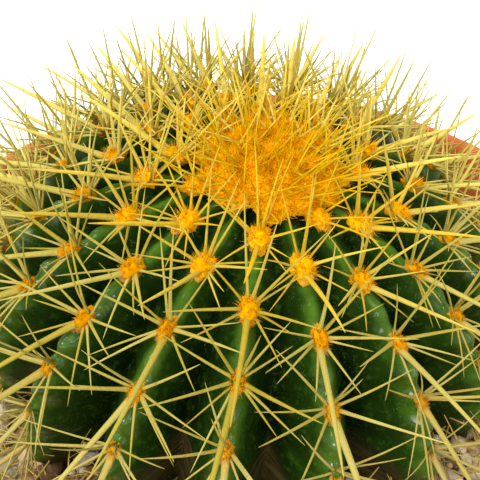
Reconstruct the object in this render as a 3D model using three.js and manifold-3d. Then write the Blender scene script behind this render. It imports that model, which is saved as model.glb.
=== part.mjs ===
import * as THREE from "three";
import { mergeVertices } from "three/addons/utils/BufferGeometryUtils.js";
import Module from "manifold-3d";

const wasm = await Module();
wasm.setup();

// A round ribbed cactus in a terracotta pot with a gravel top dressing.
// Millimetres, +Z up. The pot's axis is the Z axis, its base stands on z = 0, and the front faces -Y.

// Driving dimensions of the pot
const potHeight = 190;
const rimRadius = 130;
const rimHeight = 30;
const rimStep = 6;
const rimTaper = 2;
const baseRadius = 93;
const wallThickness = 8;
const floorThickness = 11;
const drainRadius = 11;
const edgeRound = 2.5;
const floorChamfer = 6;
const potSides = 48;

// Driving dimensions of the fill
const gap = 0.3;
const bodyGap = 0.4;
const wallGap = 0.45;
const gravelTop = 159;
const gravelDepth = 8;
const gravelInner = 76;
const pebbleCount = 112;
const pebbleTosses = 4000;
const pebbleMin = 5.2;
const pebbleMax = 8.2;
const pebbleSpacing = 0.8;
const pebbleReach = 1.5;
const pebbleBlock = 1.5;
const pebbleKnock = 0.2;
const pebbleTilt = 0.4;
const pebbleTop = 0.8;
const pebbleFoot = 0.6;
const socketLift = 1.6;
const rootLift = 0.6;

// Driving dimensions of the cactus body
const ribCount = 20;
const bodyRadius = 85;
const crownFlattening = 0.77;
const baseFlattening = 0.6;
const profilePower = 2.6;
const ribDepth = 16.5;
const crestSoftness = 0.25;
const bodyCentre = new THREE.Vector3(-3.2, -0.7, 166);
const leanRight = THREE.MathUtils.degToRad(6);
const leanFront = THREE.MathUtils.degToRad(8.4);
const ribUnevenness = 0.122;
const ribUnevenPhase = -0.98;
const rootRadius = 15;
const rootTip = 7;
const rootLength = 34;
const rootOverlap = 5;
const rootSides = 12;

// Driving dimensions of the areoles and their spines
const areoleStart = 0.21;
const areoleStep = 0.218;
const areoleStepGrowth = 0.002;
const areoleMargin = 6;
const areoleRise = 2.2;
const spineLength = 34;
const spineRadius = 0.7;
const spineSides = 3;
const spineRoot = 3;
const spineSpread = 2;
const spineWander = 17;
const spineNod = 9;
const spineUneven = 0.1;
const spineClearance = 1.1;
const sidesteps = [0, 11, -11, 22, -22, 33, -33];

// Driving dimensions of the woolly crown
const crownEdge = 0.17;
const crownWool = 5;
const crownColumns = 20;
const crownRows = 4;
const crownSeat = 0.5;
const crownRim = 0.8;
const crownTuft = 0.18;
const crownSpines = 96;
const crownSpread = 0.86;
const crownLean = [6, 52];
const crownNod = 10;
const crownSpin = 0.5;
const crownSpineLengths = [13, 19];
const crownSpineRadius = 0.75;
const crownSpineStart = 0.7;
const crownSpineRoot = 0.45;

const bodyTurn = new THREE.Matrix4()
  .makeRotationY(leanRight)
  .multiply(new THREE.Matrix4().makeRotationX(leanFront));
const bodyPlace = bodyTurn.clone().setPosition(bodyCentre);
const soilTop = gravelTop - gravelDepth;

// A repeatable number from 0 to 1 for three whole numbers
function chance(a, b, c) {
  const value = Math.sin(12.9898 * a + 78.233 * b + 37.719 * c + 4.1) * 43758.5453;
  return value - Math.floor(value);
}

// The same number, spread evenly from -1 to 1
function swing(a, b, c) {
  return 2 * chance(a, b, c) - 1;
}

function smooth(low, high, value) {
  const t = Math.min(Math.max((value - low) / (high - low), 0), 1);
  return t * t * (3 - 2 * t);
}

// Booleans on closed meshes. Vertices nearer than this to each other count as one
const weld = 1e-3;

function solidFrom(positions, triangles) {
  return new wasm.Manifold(new wasm.Mesh({
    numProp: 3,
    vertProperties: new Float32Array(positions),
    triVerts: new Uint32Array(triangles),
  }));
}

function welded(positions, triangles) {
  const geometry = new THREE.BufferGeometry();
  geometry.setAttribute("position", new THREE.BufferAttribute(positions, 3));
  geometry.setIndex(Array.from(triangles));
  return mergeVertices(geometry, weld);
}

function toSolid(geometry) {
  const merged = mergeVertices(bare(geometry), weld);
  return solidFrom(merged.attributes.position.array, merged.index.array);
}

function bare(geometry) {
  geometry.deleteAttribute("normal");
  geometry.deleteAttribute("uv");
  return geometry;
}

function toGeometry(solid) {
  const joined = solid.getMesh();
  const clean = welded(joined.vertProperties, joined.triVerts);
  const mesh = solidFrom(clean.attributes.position.array, clean.index.array).getMesh();
  return welded(mesh.vertProperties, outerShell(mesh));
}

// The triangles of the largest closed shell. Leaving the others out fills the small hollows
// that spines seal between them, and drops loose scraps.
function outerShell({ vertProperties, triVerts }) {
  const leader = Array.from({ length: vertProperties.length / 3 }, (unused, vertex) => vertex);
  const find = (vertex) => {
    let root = vertex;
    while (leader[root] !== root) {
      leader[root] = leader[leader[root]];
      root = leader[root];
    }
    return root;
  };
  for (let i = 0; i < triVerts.length; i += 3) {
    leader[find(triVerts[i])] = find(triVerts[i + 1]);
    leader[find(triVerts[i + 1])] = find(triVerts[i + 2]);
  }
  const corner = (i) => new THREE.Vector3().fromArray(vertProperties, 3 * triVerts[i]);
  const volumes = new Map();
  for (let i = 0; i < triVerts.length; i += 3) {
    const root = find(triVerts[i]);
    const volume = corner(i).dot(corner(i + 1).cross(corner(i + 2)));
    volumes.set(root, (volumes.get(root) ?? 0) + volume);
  }
  const [largest] = [...volumes].sort((a, b) => b[1] - a[1])[0];
  return triVerts.filter((vertex) => find(vertex) === largest);
}

// Joins solids two by two, so that no join is much larger than its partner
function joinAll(solids) {
  let row = solids;
  while (row.length > 1) {
    const next = [];
    for (let i = 0; i + 1 < row.length; i += 2) {
      next.push(row[i].add(row[i + 1]));
    }
    if (row.length % 2 === 1) {
      next.push(row[row.length - 1]);
    }
    row = next;
  }
  return row[0];
}

// A closed outline of [radius, height] points, turned about the Z axis
function turned(points, sides) {
  const outline = points.map(([radius, height]) => new THREE.Vector2(radius, height));
  return new THREE.LatheGeometry(outline, sides).rotateX(Math.PI / 2);
}

// Pot

const innerTop = rimRadius - wallThickness;
const innerFloor = baseRadius - wallThickness;

function innerRadiusAt(height) {
  const low = floorThickness + floorChamfer;
  return innerFloor + (innerTop - innerFloor) * (height - low) / (potHeight - edgeRound - low);
}

function potGeometry() {
  const collar = potHeight - rimHeight;
  const neck = rimRadius - rimTaper - rimStep;
  return turned([
    [drainRadius, 0],
    [baseRadius - edgeRound, 0],
    [baseRadius, edgeRound],
    [neck, collar - rimStep / 2],
    [rimRadius - rimTaper, collar],
    [rimRadius, potHeight - edgeRound],
    [rimRadius - edgeRound, potHeight],
    [innerTop + edgeRound, potHeight],
    [innerTop, potHeight - edgeRound],
    [innerFloor, floorThickness + floorChamfer],
    [innerFloor - floorChamfer, floorThickness],
    [drainRadius, floorThickness],
    [drainRadius, 0],
  ], potSides);
}

// Cactus body

// Azimuth of the place `rib` around the body, in ribs: crests are whole numbers, valleys lie halfway.
// The ribs stand closer together on the left and at the back, as they grew.
function azimuthAt(rib) {
  const even = 2 * Math.PI * rib / ribCount;
  return even + ribUnevenness * Math.sin(even + ribUnevenPhase);
}

function power(value, exponent) {
  return Math.sign(value) * Math.pow(Math.abs(value), exponent);
}

// Radius and height of the crest line at the angle `polar` from the apex, and its outward normal
function crestAt(polar) {
  const exponent = 2 / profilePower;
  const flattening = polar < Math.PI / 2 ? crownFlattening : baseFlattening;
  const radius = bodyRadius * power(Math.max(Math.sin(polar), 0), exponent);
  const height = bodyRadius * flattening * power(Math.cos(polar), exponent);
  const across = power(Math.max(Math.sin(polar), 0), 2 - exponent);
  const along = power(Math.cos(polar), 2 - exponent) / flattening;
  const size = Math.hypot(across, along);
  return { radius, height, normal: [across / size, along / size] };
}

// How deep the valleys are: none at the crown, full on the shoulder, fading again towards the roots
function depthAt(polar) {
  return ribDepth * smooth(0.1, 0.95, polar) * (1 - smooth(1.7, 2.4, polar));
}

// A point of the ribbed surface in the body's own frame, raised by `lift` along the normal.
// A rib's section is a hyperbola: round at the crest, straight down its flanks, sharp in the valley.
function bodyPoint(rib, polar, lift = 0) {
  const { radius, height, normal } = crestAt(polar);
  const off = 2 * Math.abs(rib - Math.round(rib));
  const span = Math.hypot(crestSoftness, 1) - crestSoftness;
  const drop = depthAt(polar) * (Math.hypot(crestSoftness, off) - crestSoftness) / span;
  const out = radius + (lift - drop) * normal[0];
  const azimuth = azimuthAt(rib);
  return new THREE.Vector3(
    out * Math.sin(azimuth),
    -out * Math.cos(azimuth),
    height + (lift - drop) * normal[1],
  );
}

// A closed body made from a sphere's grid: `place` gives the point for a column and a row
function wrapped(columns, rows, place) {
  const geometry = new THREE.SphereGeometry(1, columns, rows);
  const position = geometry.attributes.position;
  const around = geometry.attributes.uv;
  for (let i = 0; i < position.count; i += 1) {
    const row = Math.round((1 - around.getY(i)) * rows);
    const column = Math.floor(around.getX(i) * columns + 0.25) % columns;
    const point = place(column, row);
    position.setXYZ(i, point.x, point.y, point.z);
  }
  return geometry;
}

// Polar angle of the place `step` along a rib, counted in areoles from the crown
function polarAt(step) {
  return areoleStart + areoleStep * step + areoleStepGrowth * step * step;
}

// How far a rib's first areole lies from the crown, in steps.
// Neighbouring ribs are shifted by two fifths of a step, which closes round the twenty ribs.
function shiftOf(rib) {
  return ((2 * (rib % ribCount)) % 5) / 5;
}

// Four columns to a rib: its crest, a flank, the valley and a flank
const flankPlace = 0.21;
const ribColumns = [0, flankPlace, 0.5, 1 - flankPlace];

// The rows above and below those of the areoles
const innerRow = crownEdge;
const lowerRow = 2.45;
const halfSteps = 15;
const bodyRows = halfSteps + 4;

// Areoles grow on the part of a crest that stands clear of the gravel
function isExposed(rib, polar) {
  const height = bodyPoint(rib, polar).applyMatrix4(bodyPlace).z;
  return height > gravelTop + areoleMargin;
}

// Rows follow the areoles, two to a step, so that each areole is a raised corner on its crest.
// A flank keeps its crest's rows, and a valley runs halfway between its neighbours' rows.
function bodyGeometry(lift) {
  return wrapped(ribCount * ribColumns.length, bodyRows, (column, row) => {
    const whole = Math.floor(column / ribColumns.length);
    const part = ribColumns[column % ribColumns.length];
    const rib = whole + part;
    const betweenShift = (shiftOf(whole) + shiftOf(whole + 1)) / 2;
    const shift = part === 0.5 ? betweenShift : shiftOf(Math.round(rib));
    const polars = [0, innerRow];
    for (let half = 0; half <= halfSteps; half += 1) {
      polars.push(polarAt(half / 2 + shift));
    }
    polars.push(lowerRow, Math.PI);
    const areole = part === 0 && row >= 2 && row % 2 === 0 && isExposed(rib, polars[row]);
    return bodyPoint(rib, polars[row], lift + (areole ? areoleRise : 0));
  });
}

// The root that tapers down from the body, made larger all round by `lift` for its hole in the soil
function rootGeometry(lift) {
  const top = rootOverlap - bodyRadius * baseFlattening;
  const length = rootLength + 2 * lift;
  return new THREE.CylinderGeometry(rootRadius + lift, rootTip + lift, length, rootSides)
    .rotateX(Math.PI / 2)
    .translate(0, 0, top + lift - length / 2);
}

// A plain round body that clears the crests, for the hollow in which the plant sits
const socketColumns = 32;
const socketRows = 18;

function socketGeometry() {
  return wrapped(socketColumns, socketRows, (column, row) => {
    const { radius, height, normal } = crestAt(Math.PI * row / socketRows);
    const angle = 2 * Math.PI * column / socketColumns;
    const out = radius + socketLift * normal[0];
    const up = height + socketLift * normal[1];
    return new THREE.Vector3(out * Math.sin(angle), -out * Math.cos(angle), up);
  });
}

// Areoles and spines

// Every areole: its rib, its place along the rib and its frame on the crest
function areoles() {
  const list = [];
  for (let rib = 0; rib < ribCount; rib += 1) {
    for (let step = 0; isExposed(rib, polarAt(step + shiftOf(rib))); step += 1) {
      list.push(areoleFrame(rib, step, polarAt(step + shiftOf(rib))));
    }
  }
  return list;
}

function areoleFrame(rib, step, polar) {
  const origin = bodyPoint(rib, polar, areoleRise / 2);
  const down = bodyPoint(rib, polar + 0.02).sub(bodyPoint(rib, polar - 0.02)).normalize();
  const azimuth = azimuthAt(rib);
  const side = new THREE.Vector3(Math.cos(azimuth), Math.sin(azimuth), 0);
  const out = new THREE.Vector3().crossVectors(down, side).normalize();
  return {
    rib,
    step,
    polar,
    origin: origin.applyMatrix4(bodyPlace),
    down: down.transformDirection(bodyTurn),
    side: side.transformDirection(bodyTurn),
    out: out.transformDirection(bodyTurn),
  };
}

// The four strong spines of an areole: turn from the downward tangent, rise from the surface, length
const strongSpines = [
  { turn: 0, rise: 40, reach: 1 },
  { turn: 180, rise: 64, reach: 0.82 },
  { turn: 82, rise: 44, reach: 0.64 },
  { turn: -82, rise: 44, reach: 0.64 },
];

// Spines are longest on the shoulder, and shorter at the crown and near the gravel
function reachAt(polar) {
  return (0.76 + 0.24 * smooth(0.15, 0.75, polar)) * (1 - 0.38 * smooth(1.25, 1.8, polar));
}

function spineLine(areole, slot, sidestep) {
  const { turn, rise, reach } = strongSpines[slot];
  const wander = spineWander * swing(areole.rib, areole.step, slot);
  const nod = spineNod * swing(areole.rib, areole.step, slot + 20);
  const a = THREE.MathUtils.degToRad(turn + sidestep + wander);
  const b = THREE.MathUtils.degToRad(rise + nod);
  const across = new THREE.Vector3()
    .addScaledVector(areole.down, Math.cos(a))
    .addScaledVector(areole.side, Math.sin(a));
  const direction = across.clone().multiplyScalar(Math.cos(b)).addScaledVector(areole.out, Math.sin(b));
  const length = spineLength * reach * reachAt(areole.polar)
    * (1 + spineUneven * swing(areole.rib, areole.step, slot + 40));
  const start = areole.origin.clone().addScaledVector(across, spineSpread);
  return { areole, start, direction, length, radius: spineRadius };
}

// Whether a spine keeps off the gravel, the pot's wall and the woolly crown
const pebbleClearance = 8;
const wallClearance = 2.5;
const crownClearance = 1.2;
const crownReach = crestAt(crownEdge).radius + crownClearance;
const crownHeight = bodyRadius * crownFlattening + crownWool + crownClearance;
const inverseBody = bodyPlace.clone().invert();
const samples = 8;

function isClear(line) {
  for (let i = 1; i <= samples; i += 1) {
    const point = line.start.clone().addScaledVector(line.direction, line.length * i / samples);
    const fromAxis = Math.hypot(point.x, point.y);
    const inPot = point.z < potHeight + wallClearance;
    const low = point.z < gravelTop + pebbleClearance;
    const wide = inPot && fromAxis > innerRadiusAt(point.z) - wallClearance;
    const local = point.applyMatrix4(inverseBody);
    const inCrown = Math.hypot(local.x, local.y) < crownReach && local.z < crownHeight;
    if (low || wide || inCrown) {
      return false;
    }
  }
  return true;
}

// A spine that would touch is bent step by step, and shortened a little each time.
// On the shoulder and below it bends up and out, and beside the crown it bends outwards.
const bendSteps = 14;
const bend = 0.12;
const shorten = 0.96;
const shoulder = 0.8;

function bentClear(areole, line) {
  const escape = areole.out.clone();
  if (areole.polar > shoulder) {
    escape.add(new THREE.Vector3(0, 0, 1.2));
  } else {
    escape.addScaledVector(areole.down, 0.6);
  }
  escape.normalize();
  for (let i = 0; i < bendSteps && !isClear(line); i += 1) {
    line.direction.lerp(escape, bend).normalize();
    line.length *= shorten;
  }
  return isClear(line) ? line : null;
}

function spineGeometry(line, root) {
  const turn = new THREE.Quaternion().setFromUnitVectors(new THREE.Vector3(0, 1, 0), line.direction);
  const middle = line.start.clone().addScaledVector(line.direction, (line.length - root) / 2);
  return new THREE.ConeGeometry(line.radius, line.length + root, spineSides)
    .applyQuaternion(turn)
    .translate(middle.x, middle.y, middle.z);
}

// Shortest distance between two spines
function distanceBetween(a, b) {
  const between = a.start.clone().sub(b.start);
  const slope = a.direction.dot(b.direction);
  const alongA = a.direction.dot(between);
  const alongB = b.direction.dot(between);
  const flat = Math.max(1 - slope * slope, 1e-6);
  const first = THREE.MathUtils.clamp((slope * alongB - alongA) / flat, 0, a.length);
  const second = THREE.MathUtils.clamp(slope * first + alongB, 0, b.length);
  const third = THREE.MathUtils.clamp(slope * second - alongA, 0, a.length);
  const pointA = a.start.clone().addScaledVector(a.direction, third);
  const pointB = b.start.clone().addScaledVector(b.direction, second);
  return pointA.distanceTo(pointB);
}

// Every strong spine, turned a little aside where it would run into an earlier one
function bodySpines() {
  const lines = [];
  for (const areole of areoles()) {
    for (let slot = 0; slot < strongSpines.length; slot += 1) {
      const line = sidesteps
        .map((sidestep) => bentClear(areole, spineLine(areole, slot, sidestep)))
        .find((choice) => choice && lines.every((other) => {
          return other.areole === areole || distanceBetween(choice, other) > spineClearance;
        }));
      if (line) {
        lines.push(line);
      }
    }
  }
  return lines;
}

const spineLines = bodySpines();

function cactusGeometry() {
  const flesh = toSolid(bodyGeometry(0).applyMatrix4(bodyPlace));
  const root = toSolid(rootGeometry(0).applyMatrix4(bodyPlace));
  const spines = spineLines.map((line) => toSolid(spineGeometry(line, spineRoot)));
  return toGeometry(flesh.add(root).add(joinAll(spines)));
}

// Woolly crown

// A felt cap that follows the apex at a small distance, domed in the middle and thin at its edge
function domeAt(polar) {
  return crownRim + crownWool * (1 - (polar / crownEdge) ** 2);
}

function crownCap() {
  const rows = 2 * crownRows;
  return wrapped(crownColumns, rows, (column, row) => {
    const upper = row <= crownRows;
    const polar = crownEdge * (upper ? row : rows - row) / crownRows;
    const tuft = 1 + crownTuft * swing(row === 0 ? 0 : column, row, 7);
    const lift = crownSeat + (upper ? domeAt(polar) * tuft : 0);
    return bodyPoint(ribCount * column / crownColumns, polar, lift);
  });
}

// Spines of the crown stand in a sunflower spiral, upright in the middle and leaning out at the edge
const goldenAngle = THREE.MathUtils.degToRad(137.508);

function crownLine(index) {
  const share = Math.sqrt((index + 0.5) / crownSpines);
  const [innerLength, outerLength] = crownSpineLengths;
  const azimuth = goldenAngle * index;
  const polar = Math.asin((crownSpread * share) ** (profilePower / 2) * Math.sin(crownEdge));
  const [innerLean, outerLean] = crownLean;
  const lean = THREE.MathUtils.degToRad(
    innerLean + (outerLean - innerLean) * share + crownNod * swing(index, 3, 1),
  );
  const spin = azimuth + crownSpin * swing(index, 5, 2);
  const dome = domeAt(polar);
  const { radius, height } = crestAt(polar);
  const start = new THREE.Vector3(
    radius * Math.sin(azimuth),
    -radius * Math.cos(azimuth),
    height + crownSeat + crownSpineStart * dome,
  );
  const direction = new THREE.Vector3(
    Math.sin(lean) * Math.sin(spin),
    -Math.sin(lean) * Math.cos(spin),
    Math.cos(lean),
  );
  return {
    start: start.applyMatrix4(bodyPlace),
    direction: direction.transformDirection(bodyTurn),
    length: (innerLength + (outerLength - innerLength) * share) * (1 + spineUneven * swing(index, 9, 4)),
    radius: crownSpineRadius,
    root: crownSpineRoot * dome,
  };
}

function crownGeometry() {
  const solids = [toSolid(crownCap().applyMatrix4(bodyPlace))];
  for (let index = 0; index < crownSpines; index += 1) {
    const line = crownLine(index);
    const free = spineLines.every((other) => distanceBetween(line, other) > 2 * spineClearance);
    if (free) {
      solids.push(toSolid(spineGeometry(line, line.root)));
    }
  }
  return toGeometry(joinAll(solids));
}

// Soil and gravel

function soilGeometry() {
  const low = floorThickness + gap;
  const block = turned([
    [0, low],
    [innerFloor - floorChamfer - wallGap, low],
    [innerRadiusAt(low + floorChamfer) - wallGap, low + floorChamfer],
    [innerRadiusAt(soilTop - gap) - wallGap, soilTop - gap],
    [0, soilTop - gap],
  ], potSides);
  const socket = toSolid(socketGeometry().applyMatrix4(bodyPlace));
  const rootHole = toSolid(rootGeometry(rootLift).applyMatrix4(bodyPlace));
  return toGeometry(toSolid(block).subtract(socket.add(rootHole)));
}

// One angular stone: a block with its corners knocked about, turned and sunk by seeded chance
function pebbleGeometry(index, x, y, size) {
  const block = new THREE.BoxGeometry(pebbleBlock, pebbleBlock, pebbleBlock);
  const stone = mergeVertices(bare(block), weld);
  const position = stone.attributes.position;
  for (let i = 0; i < position.count; i += 1) {
    const knock = 1 + pebbleKnock * swing(index, i, 11);
    const top = position.getZ(i) > 0;
    const wide = knock * (top ? pebbleTop : 1);
    const high = knock * (top ? 1 : pebbleFoot);
    position.setXYZ(i, position.getX(i) * wide, position.getY(i) * wide, position.getZ(i) * high);
  }
  const length = size * (0.95 + 0.25 * chance(index, 1, 12));
  const thickness = size * (0.6 + 0.2 * chance(index, 2, 13));
  return stone
    .scale(length, size, thickness)
    .rotateX(pebbleTilt * swing(index, 6, 17))
    .rotateY(pebbleTilt * swing(index, 3, 14))
    .rotateZ(2 * Math.PI * chance(index, 4, 15))
    .translate(x, y, gravelTop + size * 0.1 * swing(index, 5, 16));
}

// Places for the stones, thrown at random and kept where they don't crowd an earlier one
function pebblePlaces() {
  const places = [];
  const outer = innerRadiusAt(gravelTop);
  for (let toss = 0; toss < pebbleTosses && places.length < pebbleCount; toss += 1) {
    const size = pebbleMin + (pebbleMax - pebbleMin) * chance(toss, 1, 21);
    const width = outer - gravelInner - size * pebbleReach;
    const radius = gravelInner + width * Math.sqrt(chance(toss, 2, 22));
    const angle = 2 * Math.PI * chance(toss, 3, 23);
    const x = radius * Math.cos(angle);
    const y = radius * Math.sin(angle);
    const crowded = places.some((other) => {
      return Math.hypot(other.x - x, other.y - y) < pebbleSpacing * (other.size + size);
    });
    if (!crowded) {
      places.push({ x, y, size });
    }
  }
  return places;
}

function gravelGeometry() {
  const bed = turned([
    [0, soilTop],
    [innerRadiusAt(soilTop) - wallGap, soilTop],
    [innerRadiusAt(gravelTop) - wallGap, gravelTop],
    [0, gravelTop],
  ], potSides);
  const stones = pebblePlaces().map((place, index) => {
    return toSolid(pebbleGeometry(index, place.x, place.y, place.size));
  });
  const hole = toSolid(bodyGeometry(bodyGap).applyMatrix4(bodyPlace));
  return toGeometry(toSolid(bed).add(joinAll(stones)).subtract(hole));
}

// Materials and assembly

function material(colour, roughness) {
  return new THREE.MeshStandardMaterial({ color: colour, roughness, metalness: 0 });
}

function sub(name, geometry, look) {
  const mesh = new THREE.Mesh(geometry, look);
  mesh.name = name;
  return mesh;
}

const group = new THREE.Group();
group.add(
  sub("pot", potGeometry(), material(0xc4683c, 0.85)),
  sub("soil", soilGeometry(), material(0x3a2a1e, 0.98)),
  sub("gravel", gravelGeometry(), material(0xa8927a, 0.9)),
  sub("cactus", cactusGeometry(), material(0x3f7a2c, 0.5)),
  sub("crown_wool", crownGeometry(), material(0xf0a616, 0.9)),
);

export default group;
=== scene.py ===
"""A round ribbed cactus with golden spines in a terracotta pot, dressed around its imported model.

Shapes are worked out in millimetres and go into their meshes in metres, in the part's own frame:
+Z up, the pot's axis on the Z axis, its base on z = 0 and the front towards -Y.
"""

import math

import bpy
import numpy as np
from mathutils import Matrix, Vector


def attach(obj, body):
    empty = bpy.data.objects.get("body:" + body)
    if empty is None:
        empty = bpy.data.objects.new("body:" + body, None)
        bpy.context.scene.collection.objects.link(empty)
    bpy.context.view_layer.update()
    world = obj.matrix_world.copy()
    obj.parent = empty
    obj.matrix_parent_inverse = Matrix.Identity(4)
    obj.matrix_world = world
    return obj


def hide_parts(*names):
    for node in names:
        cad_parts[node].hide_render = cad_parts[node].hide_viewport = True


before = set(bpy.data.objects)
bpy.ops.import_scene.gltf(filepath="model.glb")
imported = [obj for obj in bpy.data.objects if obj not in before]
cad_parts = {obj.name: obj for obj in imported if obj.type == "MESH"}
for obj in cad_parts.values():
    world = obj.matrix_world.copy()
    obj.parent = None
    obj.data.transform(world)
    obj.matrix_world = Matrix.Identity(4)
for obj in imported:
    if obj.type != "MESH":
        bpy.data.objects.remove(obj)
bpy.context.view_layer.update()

MM = 0.001
TURN = 2 * math.pi

# Pot
POT_HEIGHT = 190
RIM_RADIUS = 130
RIM_HEIGHT = 30
RIM_STEP = 6
RIM_TAPER = 2
BASE_RADIUS = 93
WALL = 8
FLOOR = 11
FLOOR_CHAMFER = 6
DRAIN_RADIUS = 11
EDGE_ROUND = 2.5
INNER_TOP = RIM_RADIUS - WALL
INNER_FLOOR = BASE_RADIUS - WALL
POT_SIDES = 288
LONGEST_EDGE = 9
DAMP_RISE = 22

# Gravel
GRAVEL_TOP = 159
GRAVEL_LOW = 151.3
WALL_GAP = 0.45

# Body of the cactus
RIBS = 20
BODY_RADIUS = 85
CROWN_FLATTENING = 0.77
BASE_FLATTENING = 0.6
PROFILE_POWER = 2.6
RIB_DEPTH = 16.5
CREST_SOFTNESS = 0.18
BODY_CENTRE = np.array([-3.2, -0.7, 166])
LEAN_RIGHT = math.radians(6)
LEAN_FRONT = math.radians(8.4)
UNEVENNESS = 0.122
UNEVEN_PHASE = -0.98
ROOT_RADIUS = 15
ROOT_TIP = 7
ROOT_LOW = -80

# Areoles, spines and crown
AREOLE_START = 0.21
AREOLE_STEP = 0.218
AREOLE_GROWTH = 0.002
AREOLE_RISE = 2.2
AREOLE_MARGIN = 6
AREOLES_A_RIB = 12
YOUNG_RISE = 1.2
SPINE_LENGTH = 34
CROWN_EDGE = 0.17
CROWN_WOOL = 5
CROWN_SEAT = 0.5
CROWN_RIM = 0.8
CROWN_SPINES = 96
CROWN_SPREAD = 0.86
GOLDEN_ANGLE = math.radians(137.508)


# Numbers

def chance(a, b, c):
    """A repeatable number from 0 to 1: the fraction of
    43758.5453 sin(12.9898 a + 78.233 b + 37.719 c + 4.1). Each quality has a c of its own."""
    value = np.sin(12.9898 * a + 78.233 * b + 37.719 * c + 4.1) * 43758.5453
    return value - np.floor(value)


def swing(a, b, c):
    """The same number, spread evenly from -1 to 1."""
    return 2 * chance(a, b, c) - 1


def smooth(low, high, value):
    """0 below `low`, 1 above `high`, and 3t^2 - 2t^3 between them."""
    t = np.clip((value - low) / (high - low), 0, 1)
    return t * t * (3 - 2 * t)


def bump(value, width):
    """A round hump: e to the minus (value / width) squared."""
    return np.exp(-(value / width) ** 2)


def power(value, exponent):
    """The power of a number's size, with its sign kept."""
    return np.sign(value) * np.abs(value) ** exponent


def unit(vectors):
    return vectors / np.maximum(np.linalg.norm(vectors, axis=-1, keepdims=True), 1e-9)


def ripple(points, size, seed):
    """Smooth unevenness from about -1 to 1: eight sine waves of lengths near `size`, added up,
    each running along a direction of its own."""
    rng = np.random.default_rng(seed)
    along = unit(rng.normal(size=(8, 3)))
    pitch = TURN / (size * rng.uniform(0.7, 1.4, 8))
    phase = rng.uniform(0, TURN, 8)
    return np.sin(points @ (along * pitch[:, None]).T + phase).sum(-1) / 2.8


def round_axis(radius, angle, height):
    """Points round the Z axis, at angles that count from +X."""
    parts = np.broadcast_arrays(radius * np.cos(angle), radius * np.sin(angle), height)
    return np.stack(parts, -1)


def from_front(radius, azimuth, height):
    """Points round the Z axis, at angles that count from the front, -Y."""
    parts = np.broadcast_arrays(radius * np.sin(azimuth), -radius * np.cos(azimuth), height)
    return np.stack(parts, -1)


def chosen(table, which):
    """The rows that `which` picks from a table of arrays."""
    return {key: values[which] for key, values in table.items()}


# Frame of the body, which leans to the right and to the front

def lean_matrix():
    """A turn by LEAN_FRONT about X, followed by a turn by LEAN_RIGHT about Y."""
    cx, sx = math.cos(LEAN_FRONT), math.sin(LEAN_FRONT)
    cy, sy = math.cos(LEAN_RIGHT), math.sin(LEAN_RIGHT)
    about_x = np.array([[1, 0, 0], [0, cx, -sx], [0, sx, cx]])
    about_y = np.array([[cy, 0, sy], [0, 1, 0], [-sy, 0, cy]])
    return about_y @ about_x


LEAN = lean_matrix()


def placed(points):
    """Points of the body's own frame, in the part's frame."""
    return points @ LEAN.T + BODY_CENTRE


def turned_with_body(vectors):
    """Directions of the body's own frame, in the part's frame."""
    return vectors @ LEAN.T


# Meshes

def grid_quads(rows, columns, closed_rows=False):
    """Corners of the quads of a grid that closes on itself around its columns."""
    last = rows if closed_rows else rows - 1
    row, column = np.meshgrid(np.arange(last), np.arange(columns), indexing="ij")
    below = (row + 1) % rows
    beside = (column + 1) % columns
    corners = [
        row * columns + column,
        below * columns + column,
        below * columns + beside,
        row * columns + beside,
    ]
    return np.stack(corners, -1).reshape(-1, 4)


def pole_fan(first, columns, pole, flip):
    """Triangles from one ring of points to a pole."""
    here = first + np.arange(columns)
    beside = first + (np.arange(columns) + 1) % columns
    fan = np.stack([here, beside, np.full(columns, pole)], -1)
    return fan[:, ::-1] if flip else fan


def closed_faces(rows, columns):
    """Faces of a closed skin: rings from the top to the bottom, then the top pole and the bottom
    pole."""
    top = rows * columns
    return [
        grid_quads(rows, columns),
        pole_fan(0, columns, top, False),
        pole_fan((rows - 1) * columns, columns, top + 1, True),
    ]


def repeated(faces, points_each, count):
    """The same faces for `count` copies of a shape."""
    offsets = (np.arange(count) * points_each)[:, None, None]
    return [(face[None] + offsets).reshape(-1, face.shape[1]) for face in faces]


def joined(parts):
    """Several (points, faces, marks) as one. A mark with fewer values than points is spread over
    the rows or columns that it has no values of its own for."""
    points, quads, triangles, marks, start = [], [], [], {}, 0
    for part_points, part_faces, part_marks in parts:
        points.append(part_points.reshape(-1, 3))
        for face in part_faces:
            (quads if face.shape[1] == 4 else triangles).append(face + start)
        for key, values in part_marks.items():
            spread = np.broadcast_to(values, part_points.shape[:-1])
            marks.setdefault(key, []).append(spread.ravel())
        start += len(points[-1])
    faces = [np.concatenate(group) for group in (quads, triangles) if group]
    marks = {key: np.concatenate(values) for key, values in marks.items()}
    return np.concatenate(points), faces, marks


def new_object(name, data):
    made = bpy.data.objects.new(name, data)
    bpy.context.scene.collection.objects.link(made)
    return made


def add_piece(name, shape, finish, slot, *stands_for):
    """Puts points in millimetres, faces and point marks into a mesh that rides on the root body."""
    points, faces, marks = joined([shape])
    corners = np.concatenate([face.ravel() for face in faces])
    sizes = np.concatenate([np.full(len(face), face.shape[1]) for face in faces])
    mesh = bpy.data.meshes.new(name)
    mesh.vertices.add(len(points))
    mesh.vertices.foreach_set("co", (points * MM).ravel())
    mesh.loops.add(len(corners))
    mesh.loops.foreach_set("vertex_index", corners)
    mesh.polygons.add(len(sizes))
    mesh.polygons.foreach_set("loop_start", np.cumsum(sizes) - sizes)
    mesh.update(calc_edges=True)
    for key, values in marks.items():
        attribute = mesh.attributes.new(key, "FLOAT", "POINT")
        attribute.data.foreach_set("value", values.astype(np.float32))
    mesh.shade_smooth()
    mesh.materials.append(finish)
    piece = new_object(name, mesh)
    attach(piece, "root")
    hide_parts(*stands_for)


# Shader expressions

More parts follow.
